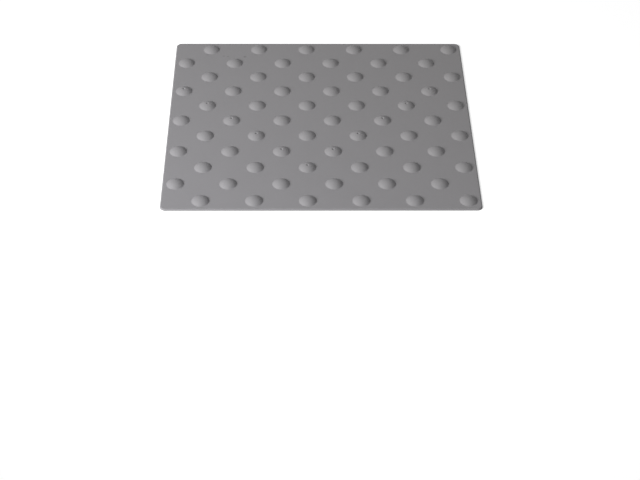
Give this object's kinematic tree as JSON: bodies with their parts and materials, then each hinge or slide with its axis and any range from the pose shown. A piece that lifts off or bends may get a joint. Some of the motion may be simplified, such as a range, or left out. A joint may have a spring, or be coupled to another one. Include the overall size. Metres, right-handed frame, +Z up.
{
  "type": "tactile paving slab",
  "caption": "Thin rectangular floor slab with rounded corners and staggered rows of low domes that warn underfoot.",
  "frame": {"origin": "middle of the flat underside", "axes": "+X along the longer side, the way slabs follow each other in a strip; +Y across the strip, away from the front edge; +Z up, out of the dome side"},
  "size_m": [0.45, 0.4124, 0.0074],
  "materials": {
    "slab_polymer": "matte, moulded, mid grey all through"
  },
  "bodies": {
    "root": {"tactile_slab": "slab_polymer"}
  },
  "joints": []
}
